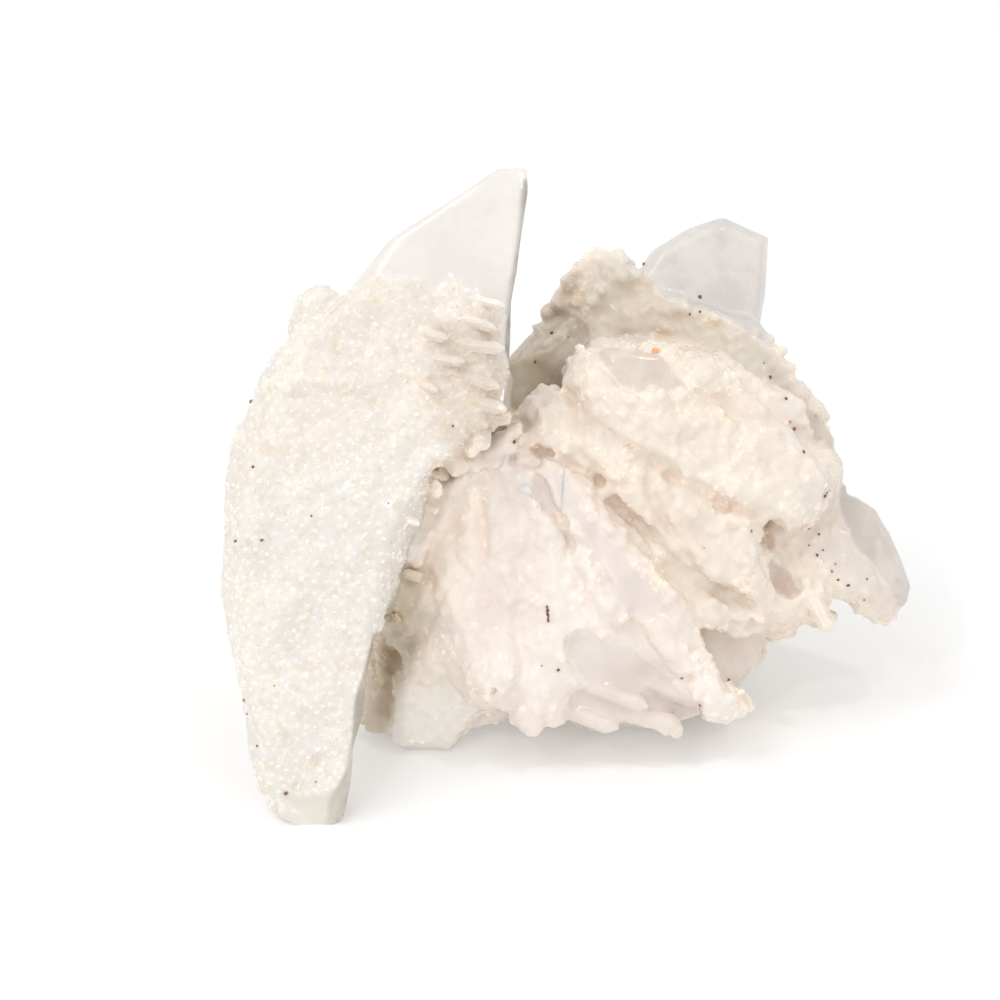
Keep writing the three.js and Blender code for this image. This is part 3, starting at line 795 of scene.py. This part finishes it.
def solidBody():
    # the solid's own shape with its corners merged, and its lumps
    obj = copyOf(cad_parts["quartz_cluster"], "cluster_body")
    obj.parent = None
    for key in list(obj.keys()):
        del obj[key]
    pick(obj)
    bpy.ops.object.mode_set(mode="EDIT")
    bpy.ops.mesh.select_all(action="SELECT")
    bpy.ops.mesh.remove_doubles(threshold=body["weld"])
    bpy.ops.object.mode_set(mode="OBJECT")
    obj.data.materials.clear()
    joinTo(obj, lumpMesh())
    return obj


def makeBody():
    obj = solidBody()
    applied(obj, "remesh", "REMESH", mode="VOXEL", voxel_size=body["voxel"])
    places = placesOf(obj)
    crust, blade, middle = crustAt(places), bladeAt(places), calmAt(places)
    flaky = crust * (1 - body["bladeFlakes"] * blade)
    weigh(obj, "crust", crust)
    weigh(obj, "lobes", crust * (1 - body["bladeLobes"] * blade) * (1 - body["calmLobes"] * middle))
    weigh(obj, "sunk", flaky)
    weigh(obj, "flakes", flaky * flakesAt(places))
    weigh(obj, "grooves", crust * grooveAt(places))
    applied(obj, "soften", "SMOOTH", vertex_group="crust", **body["soften"])
    raised(obj, "crust", body["crustRise"])
    raised(obj, "sunk", -body["flakeSink"])
    raised(obj, "flakes", body["flakeRise"])
    roughened(obj, "lump", "lobes")
    roughened(obj, "knob", "lobes")
    raised(obj, "grooves", -grooves["sink"])
    joinTo(obj, knobMesh(obj))

    # a second remesh takes away the folds that the rises leave
    applied(obj, "clean", "REMESH", mode="VOXEL", voxel_size=body["voxel"])
    places = placesOf(obj)
    crust, blade, middle = crustAt(places), bladeAt(places), calmAt(places)
    grains = body["fanGrains"] + (1 - body["fanGrains"]) * blade
    weigh(obj, "lobes", crust * (1 - blade))
    weigh(obj, "grains", crust * grains * (1 - body["calmGrains"] * middle))
    applied(obj, "settle", "SMOOTH", vertex_group="lobes", **body["settle"])
    roughened(obj, "grain", "grains")
    obj.vertex_groups.clear()
    return obj


def blockOf(name, outline, front, back):
    # a block of space, across and rise in mm along the leaning face, between two depths
    count = len(outline)
    places = np.array([upright(x, d, r) for d in (front, back) for x, r in outline])
    faces = [list(range(count)), list(range(2 * count - 1, count - 1, -1))]
    faces += [[i, i + count, (i + 1) % count + count, (i + 1) % count] for i in range(count)]
    return meshFrom(name, places, faces)


plateFan = makeBody()
bodyTree = treeOf(plateFan)
hollowProbe = copyOf(plateFan, "hollow_probe")
tallBlade = copyOf(plateFan, "tall_blade")
plateFan.name = "plate_fan"
front = blockOf("front_space", bladeBlock["frontOutline"], *bladeBlock["frontDepths"])
back = blockOf("back_space", bladeBlock["outline"], *bladeBlock["depths"])
for obj, operation, solver, block in (
    (front, "UNION", "EXACT", back),
    (tallBlade, "INTERSECT", "MANIFOLD", front),
    (plateFan, "DIFFERENCE", "MANIFOLD", front),
):
    applied(obj, "share", "BOOLEAN", operation=operation, solver=solver, object=block)
bpy.data.objects.remove(front)
bpy.data.objects.remove(back)
parts = (tallBlade, plateFan)
for part in parts:
    print(part.name + ":", len(part.data.polygons), "faces before its crystals")

# How closed in each place is, for the painted shade of the hollows.
hollows = {
    "seed": 11,
    "voxel": 1.5 * mm,
    "rays": 28,
    "reach": 26 * mm,
    "off": 0.6,
    "spread": 0.98,
    "farShare": 0.5,
    "neighbours": 3,
    "blend": 0.2 * mm,
}


def hollowMap(probe):
    # the share of the rays from each place of a coarse copy that the copy itself stops
    applied(probe, "coarse", "REMESH", mode="VOXEL", voxel_size=hollows["voxel"])
    tree = treeOf(probe)
    random = np.random.default_rng(hollows["seed"])
    turns = unit(random.normal(size=(hollows["rays"], 3)))
    reach = hollows["reach"]
    found = KDTree(len(probe.data.vertices))
    values = []
    for vertex in probe.data.vertices:
        start = vertex.co + vertex.normal * hollows["off"] * mm
        blocked = 0.0
        for turn in turns:
            ray = (Vector(turn) * hollows["spread"] + vertex.normal).normalized()
            hit = tree.ray_cast(start, ray, reach)
            if hit[3] is not None:
                blocked += 1 - hollows["farShare"] * hit[3] / reach
        values.append(blocked / len(turns))
        found.insert(vertex.co, vertex.index)
    found.balance()
    bpy.data.objects.remove(probe)
    return found, np.array(values)


hollowTree, hollowValues = hollowMap(hollowProbe)
print("hollows: mean %.3f, most %.3f" % (hollowValues.mean(), hollowValues.max()))


def hollowAt(points):
    # the coarse copy's values, blended from the nearest places
    result = np.empty(len(points))
    for i, place in enumerate(points):
        near = hollowTree.find_n(Vector(place), hollows["neighbours"])
        weights = [1 / (n[2] + hollows["blend"]) for n in near]
        result[i] = sum(hollowValues[n[1]] * w for n, w in zip(near, weights)) / sum(weights)
    return result


# Small crystals of the crust. Three values are for the blade, the fan and the far side, and
# lengths among them are in mm.
druse = {
    "seed": 3,
    "farFrom": 22,
    "clearOfGround": 2.5 * mm,
    "skin": 0.02 * mm,
    "onCrust": 0.6,
    "patchSize": 7 * mm,
    "patches": 0.9,
    "calm": 0.25,
    "chance": 0.15,
    "vary": (0.85, 1.25),
    "apart": 2.1,
    "width": (1, 1.5),
    "flat": (0.65, 1),
    "sunk": 0.9,
    "proudVary": (0.5, 1.5),
    "sideways": 0.05,
    "spacing": (1.2, 1.1, 2.2),
    "proud": (0.3, 0.25, 0.6),
    "wild": (0.5, 0.6, 0.5),
    "rise": (0.35, 0.1, 0.1),
    "long": (1.3, 0.8, 1),
    "cover": (0.85, 0.12, 0.7),
    "blunt": (0.25, 0.25, 0.7),
}


def druseOf(name, kinds):
    return np.array(druse[name])[kinds]


def growAll(obj, crystals):
    # one union of all sets, since the crystals of a set don't touch each other
    grown = bpy.data.collections.new("grown")
    scene.collection.children.link(grown)
    for piece in crystals:
        scene.collection.objects.unlink(piece)
        grown.objects.link(piece)
    applied(
        obj, "grow", "BOOLEAN", operation="UNION", solver="MANIFOLD", operand_type="COLLECTION",
        collection=grown,
    )
    for piece in crystals:
        bpy.data.objects.remove(piece)
    bpy.data.collections.remove(grown)


def drusePlaces(obj):
    # where crystals grow on the crust of the body's uncut skin, and of which kind they are
    places, normals, random = scatterOn(obj, druse["seed"])
    onSkin = [bodyTree.find_nearest(Vector(p), druse["skin"])[3] is not None for p in places]
    keep = (crustAt(places) > druse["onCrust"]) & (places[:, 2] > druse["clearOfGround"])
    keep &= np.array(onSkin)
    places, normals = places[keep], normals[keep]
    blade = bladeAt(places) > 0.5
    far = onFace(places)[2] > druse["farFrom"]
    kinds = np.where(blade, 0, np.where(far, 2, 1))
    patches = 0.5 + druse["patches"] * noiseAt(places, druse["patchSize"], 3.3)
    patches += druse["calm"] * calmAt(places)
    cover = druseOf("cover", kinds) + druse["chance"] * random.normal(size=len(places))
    keep = patches < cover
    return places[keep], normals[keep], kinds[keep], random


def growCrust(obj):
    places, normals, kinds, random = drusePlaces(obj)
    spacings = mm * druseOf("spacing", kinds) * random.uniform(*druse["vary"], len(places))
    kept, sets = cellPoints(places, spacings, spacings * druse["apart"])
    places, normals, kinds, spacings = places[kept], normals[kept], kinds[kept], spacings[kept]
    count = len(places)
    wild = unit(random.normal(size=(count, 3))) * druseOf("wild", kinds)[:, None]
    rise = np.array([druse["sideways"], math.sin(leanTurn), math.cos(leanTurn)])
    axes = unit(normals + wild + druseOf("rise", kinds)[:, None] * rise)
    widths = spacings * random.uniform(*druse["width"], count)
    lengths = widths * druseOf("long", kinds)
    sizes = np.stack([widths, widths * random.uniform(*druse["flat"], count), lengths], axis=1)
    proud = mm * druseOf("proud", kinds) * random.uniform(*druse["proudVary"], count)
    centres = places + axes * (proud - druse["sunk"] * lengths)[:, None]
    turns = turnedTo(axes, random.uniform(0, fullTurn, count))
    blunt = random.random(count) < druseOf("blunt", kinds)
    crystals = []
    for group in range(sets.max() + 1):
        for shape, chosen in (("point", ~blunt), ("blunt", blunt)):
            which = (sets == group) & chosen
            if which.any():
                put = copies("crystals", shape, sizes[which], turns[which], centres[which])
                crystals.append(put)
    crystals += rodMeshes(rods if obj is tallBlade else shards)
    growAll(obj, crystals)
    return count


# Collapsing weights by depth: from, to and weight, in mm.
thinning = {"most": 196000, "weights": [(-99, 8, 0.25), (8, 20, 0.5), (20, 999, 1.0)]}


def thinned(obj):
    # collapses what is flat or turned away first, so that the part stays light enough
    behind = onFace(placesOf(obj))[2]
    group = obj.vertex_groups.new(name="far")
    for low, high, weight in thinning["weights"]:
        group.add(np.nonzero((behind >= low) & (behind < high))[0].tolist(), weight, "REPLACE")
    obj.data.calc_loop_triangles()
    before = len(obj.data.loop_triangles)
    if before > thinning["most"]:
        applied(
            obj, "thin", "DECIMATE", ratio=thinning["most"] / before,
            use_collapse_triangulate=True, vertex_group="far", vertex_group_factor=1.0,
        )
    obj.vertex_groups.clear()
    obj.data.calc_loop_triangles()
    return before, len(obj.data.loop_triangles)


for part in parts:
    grown = growCrust(part)
    before, after = thinned(part)
    print(part.name + ":", grown, "crystals,", before, "triangles thinned to", after)


class Wire:
    # a socket's output, with sums that add Math nodes
    def __init__(self, paint, socket):
        self.paint = paint
        self.socket = socket

    def maths(self, operation, first, second):
        return self.paint.node("ShaderNodeMath", {"operation": operation}, {0: first, 1: second})

    def __add__(self, other):
        return self.maths("ADD", self, other)

    def __sub__(self, other):
        return self.maths("SUBTRACT", self, other)

    def __rsub__(self, other):
        return self.maths("SUBTRACT", other, self)

    def __mul__(self, other):
        return self.maths("MULTIPLY", self, other)

    __radd__ = __add__
    __rmul__ = __mul__


class Paint:
    # a material's nodes
    def __init__(self, name):
        self.material = bpy.data.materials.new(name)
        self.material.use_nodes = True
        self.tree = self.material.node_tree
        self.tree.nodes.clear()

    def node(self, kind, settings=None, inputs=None, output=0):
        made = self.tree.nodes.new(kind)
        for key, value in (settings or {}).items():
            setattr(made, key, value)
        for key, value in (inputs or {}).items():
            if isinstance(value, Wire):
                self.tree.links.new(value.socket, made.inputs[key])
            else:
                made.inputs[key].default_value = value
        return Wire(self, made.outputs[output]) if len(made.outputs) else None

    def ownPlace(self):
        # Object coordinates
        return self.node("ShaderNodeTexCoord", output=3)

    def attribute(self, name, output=2):
        return self.node("ShaderNodeAttribute", {"attribute_name": name}, output=output)

    def mix(self, factor, first, second, blend="MIX"):
        return self.node(
            "ShaderNodeMix", {"data_type": "RGBA", "blend_type": blend},
            {0: factor, 6: first, 7: second}, output=2,
        )

    def ramp(self, value, start, end):
        return self.node(
            "ShaderNodeMapRange", {"interpolation_type": "SMOOTHSTEP"},
            {0: value, 1: start, 2: end, 3: 0, 4: 1},
        )

    def noise(self, place, scale, detail=3, rough=0.55):
        look = {"Vector": place, "Scale": scale, "Detail": detail, "Roughness": rough}
        return self.node("ShaderNodeTexNoise", {}, look)

    def finish(self, shader):
        self.node("ShaderNodeOutputMaterial", {}, {"Surface": shader})
        return self.material


# Marks have where they start, where they are full, and their strength.
quartz = {
    "colours": {
        "frost": (0.9, 0.86, 0.8, 1),
        "warmTint": (0.86, 0.74, 0.56, 1),
        # painted shade on the lower flakes
        "under": (0.95, 0.89, 0.865, 1),
        # painted shade in the hollows, warm brown
        "hollowShade": (0.48, 0.41, 0.3, 1),
        "veil": (0.9, 0.84, 0.78, 1),
    },
    "scales": {
        "frost": 60, "mottle": 420, "pits": 1300, "veil": 130, "speckle": 900, "glint": 700,
    },
    "marks": {
        "frost": (0.45, 0.7, 0.25),
        "mottle": (0.5, 0.75, 0.4),
        "pits": (0.56, 0.72, 0.35),
        "hollowShade": (0.38, 0.74, 0.95),
        "veil": (0.4, 0.62, 0.35),
        "glint": (0.15, 0.6, 0.42),
    },
    "under": 0.9,
    "smooth": 0.14,
    "speckleRough": 0.12,
    "lineStretch": (700, 700, 60),
    "lineRelief": 0.6,
    "veilRelief": 1.5,
    "bump": {"Strength": 0.3, "Distance": 0.2 * mm},
    "glass": {
        "IOR": 1.54,
        "Subsurface Weight": 0.75,
        "Subsurface Radius": (1.0, 0.72, 0.5),
        "Subsurface Scale": 1.6 * mm,
    },
}


def makeQuartz():
    paint = Paint("milky_quartz")
    place = paint.ownPlace()
    colours, scales = quartz["colours"], quartz["scales"]
    crust, grit, flake = (paint.attribute(name) for name in ("crust", "grit", "flake"))
    bare = 1 - crust

    def marks(value, name):
        start, full, strength = quartz["marks"][name]
        return paint.ramp(value, start, full) * strength

    # colour: the wash, clouds, warm mottling and pits, painted shade on the lower flakes and in the
    # hollows, and veils where bare
    clouds = marks(paint.noise(place, scales["frost"]), "frost")
    colour = paint.mix(clouds, paint.attribute("wash", 0), colours["frost"])
    for name, detail in (("mottle", 3), ("pits", 1)):
        spots = marks(paint.noise(place, scales[name], detail), name) * grit
        colour = paint.mix(spots, colour, colours["warmTint"], "MULTIPLY")
    # painted shade: the lower steps of the flakes are darker, as if under the higher ones
    shade = (1 - flake) * crust * quartz["under"]
    colour = paint.mix(shade, colour, colours["under"], "MULTIPLY")
    # painted shade: warm brown darkening where the hollows are closed in
    shade = marks(paint.attribute("hollowShade"), "hollowShade")
    colour = paint.mix(shade, colour, colours["hollowShade"], "MULTIPLY")
    veils = paint.noise(place, scales["veil"], 6, 0.65)
    colour = paint.mix(marks(veils, "veil") * bare, colour, colours["veil"])

    # gloss that differs from facet to facet, and fine relief with growth lines where bare
    where = {"Vector": place, "Scale": scales["glint"]}
    cell = paint.node("ShaderNodeTexVoronoi", {"feature": "F1"}, where, output=1)
    glint = paint.node("ShaderNodeSeparateColor", {}, {0: cell})
    speckle = paint.noise(place, scales["speckle"], 2)
    rough = marks(glint, "glint") * crust + quartz["smooth"] + speckle * quartz["speckleRough"]
    where = {0: place, 1: quartz["lineStretch"]}
    stretched = paint.node("ShaderNodeVectorMath", {"operation": "MULTIPLY"}, where)
    lines = paint.noise(stretched, 1, 2)
    relief = speckle + lines * bare * quartz["lineRelief"] + veils * bare * quartz["veilRelief"]
    bump = paint.node("ShaderNodeBump", {}, {**quartz["bump"], "Height": relief})
    return paint.finish(paint.node(
        "ShaderNodeBsdfPrincipled", {"subsurface_method": "BURLEY"},
        {"Base Color": colour, "Roughness": rough, "Normal": bump, **quartz["glass"]},
    ))


milkyQuartz = makeQuartz()
finish = {"fanGrit": 0.25, "smoothTo": 35}


def declare(obj):
    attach(obj, "root")
    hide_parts("quartz_cluster")


def finishPiece(obj):
    places = placesOf(obj)
    crust, blade = crustAt(places), bladeAt(places)
    grit = finish["fanGrit"] + (1 - finish["fanGrit"]) * blade
    floatAttribute(obj, "crust", crust)
    floatAttribute(obj, "grit", crust * grit)
    floatAttribute(obj, "flake", 1 - (1 - flakesAt(places)) * (1 - blade))
    # how closed in each place is, for the painted shade of the hollows
    floatAttribute(obj, "hollowShade", hollowAt(places))
    colourAttribute(obj, "wash", washAt(places))
    obj.data.materials.clear()
    obj.data.materials.append(milkyQuartz)
    pick(obj)
    bpy.ops.object.shade_smooth_by_angle(angle=math.radians(finish["smoothTo"]))
    declare(obj)


for part in parts:
    finishPiece(part)
print("materials done")

# Dark mineral specks on the surface, across and up on the face in mm.
specks = {
    "seed": 5,
    "size": (0.28 * mm, 0.75 * mm),
    "sunk": 0.05 * mm,
    "width": (0.6, 1),
    "thick": 0.6,
    "tilt": 0.4,
    "swell": {"dark": 1, "needle": 0.8, "orange": 1.5},
    "dark": [
        (-44.9, -7), (-40.5, -6.8), (-42, 5.6), (-32.1, -2.7), (-19, -0.5), (-8, 12.6),
        (-18, -19.2), (-38.4, -31.6), (-31.3, -47.9), (-36.4, -49.8), (-43.5, -34), (-43, -36.4),
        (-41.3, -41.8), (-42.3, 16.7), (24.5, 40.1), (34, 34.5), (32.3, 31.6), (34, 32),
        (8.8, 28.4), (11.6, 27.7), (6, 23.5), (49.3, 13.3), (50, 12.1), (53.7, 14.3), (48.6, 17.2),
        (51.7, 8.2), (44.9, 23.3), (45.9, 20.9), (2.4, 9.9), (7.1, -28.2), (9.9, -28.9),
        (34.7, -8.2), (42.7, -5.3), (52.5, -4.8), (52.5, -7.7), (54.9, -8.5), (53.9, -9.4),
        (54.2, -5.8), (57, -10.9), (56.4, -12.1), (57.5, -13.6), (59.2, -14.5), (62.4, -13.4),
        (61.9, -17), (38.8, -30.6), (34, -34.9), (31.8, -37.9), (30.9, -30.3), (55.6, 1.2),
        (56, 1.6), (55.2, 0.7),
    ],
    "needle": [
        (8, -17.9), (8, -18.2), (8.1, -18.5), (8.1, -18.8), (8.1, -19.1), (8.1, -19.4),
        (8.2, -19.7), (8.2, -20), (8.2, -20.3), (8.2, -20.6),
    ],
    "orange": [(26.4, 25.5), (26.9, 25.2), (26.1, 25.1)],
}


def makeSpecks():
    trees = [treeOf(part) for part in parts]
    random = np.random.default_rng(specks["seed"])
    found, normals, sizes, tints = [], [], [], []
    for kind, swell in specks["swell"].items():
        for across, up in specks[kind]:
            hit = seenAt(trees, across, up)
            if hit:
                found.append(hit[0][:])
                normals.append(hit[1][:])
                sizes.append(random.uniform(*specks["size"]) * swell)
                tints.append(float(kind == "orange"))
    found, normals, sizes = np.array(found), np.array(normals), np.array(sizes)
    widths = sizes * random.uniform(*specks["width"], len(sizes))
    wide = np.stack([sizes, widths, sizes * specks["thick"]], axis=1)
    axes = unit(normals + specks["tilt"] * random.normal(size=normals.shape))
    turns = turnedTo(axes, random.uniform(0, fullTurn, len(sizes)))
    obj = copies("mineral_specks", "blunt", wide, turns, found - normals * specks["sunk"])
    floatAttribute(obj, "orange", np.repeat(tints, len(shapes["blunt"][0])))
    return obj


rust = {
    "patchScale": 260,
    "patches": (0.4, 0.65),
    "grainScale": 4000,
    "grainRough": 0.3,
    "rough": 0.5,
    "bump": {"Strength": 0.4, "Distance": 0.1 * mm},
    "dark": (0.13, 0.055, 0.04, 1),
    "red": (0.36, 0.16, 0.11, 1),
    "orange": (0.92, 0.42, 0.18, 1),
    "pale": (0.95, 0.62, 0.36, 1),
}


def makeRust():
    paint = Paint("rust_specks")
    place = paint.ownPlace()
    patches = paint.noise(place, rust["patchScale"])
    grain = paint.noise(place, rust["grainScale"], 2)
    dark = paint.mix(paint.ramp(patches, *rust["patches"]), rust["dark"], rust["red"])
    warm = paint.mix(grain, rust["orange"], rust["pale"])
    colour = paint.mix(paint.attribute("orange"), dark, warm)
    rough = grain * rust["grainRough"] + rust["rough"]
    bump = paint.node("ShaderNodeBump", {}, {**rust["bump"], "Height": grain})
    return paint.finish(paint.node("ShaderNodeBsdfPrincipled", {}, {
        "Base Color": colour, "Roughness": rough, "Normal": bump,
    }))


mineralSpecks = makeSpecks()
mineralSpecks.data.materials.append(makeRust())
declare(mineralSpecks)
print("specks:", len(mineralSpecks.data.polygons), "faces")

# Lights are at their place in metres, with their size and power.
studio = {
    "floorSize": 6,
    "floorColour": (0.8, 0.8, 0.8, 1),
    "floorGlow": 0.2,
    "floorRough": 0.55,
    "toothScale": 400,
    "toothRough": 0.1,
    "skyColour": (1.0, 1.0, 1.0, 1),
    "skyStrength": 0.84,
    "lights": {
        "key": ((-0.5, -0.3, 1.0), 0.5, 2.5),
        "glintLeft": ((-0.35, -0.75, 0.75), 0.06, 0.9),
        "glintTop": ((0.3, -0.25, 1.0), 0.06, 0.9),
    },
}


def makeFloor():
    deselectAll()
    bpy.ops.mesh.primitive_plane_add(size=studio["floorSize"], location=(0, 0, 0))
    floor = bpy.context.object
    floor.name = "floor"
    paint = Paint("floor_paper")
    tooth = paint.noise(paint.ownPlace(), studio["toothScale"])
    rough = tooth * studio["toothRough"] + studio["floorRough"]
    floor.data.materials.append(paint.finish(paint.node("ShaderNodeBsdfPrincipled", {}, {
        "Base Color": studio["floorColour"],
        "Roughness": rough,
        "Emission Color": (1.0, 1.0, 1.0, 1),
        "Emission Strength": studio["floorGlow"],
    })))


def areaLight(name, place, size, power):
    deselectAll()
    aim = Vector(camera["aim"])
    turn = (aim - Vector(place)).to_track_quat("-Z", "Y").to_euler()
    bpy.ops.object.light_add(type="AREA", location=place, rotation=turn)
    light = bpy.context.object
    light.name = name
    light.data.size = size
    light.data.energy = power


makeFloor()
world = bpy.data.worlds.new("studio")
scene.world = world
world.use_nodes = True
sky = world.node_tree.nodes["Background"]
sky.inputs["Color"].default_value = studio["skyColour"]
sky.inputs["Strength"].default_value = studio["skyStrength"]
for name, light in studio["lights"].items():
    areaLight(name, *light)

deselectAll()
bpy.ops.object.camera_add(location=lookFrom.tolist(), rotation=(lookTurn, 0, 0))
scene.camera = bpy.context.object
scene.camera.name = "camera"
scene.camera.data.lens = camera["lens"]
scene.camera.data.clip_end = 20
scene.view_settings.view_transform = "Standard"
print("studio done")
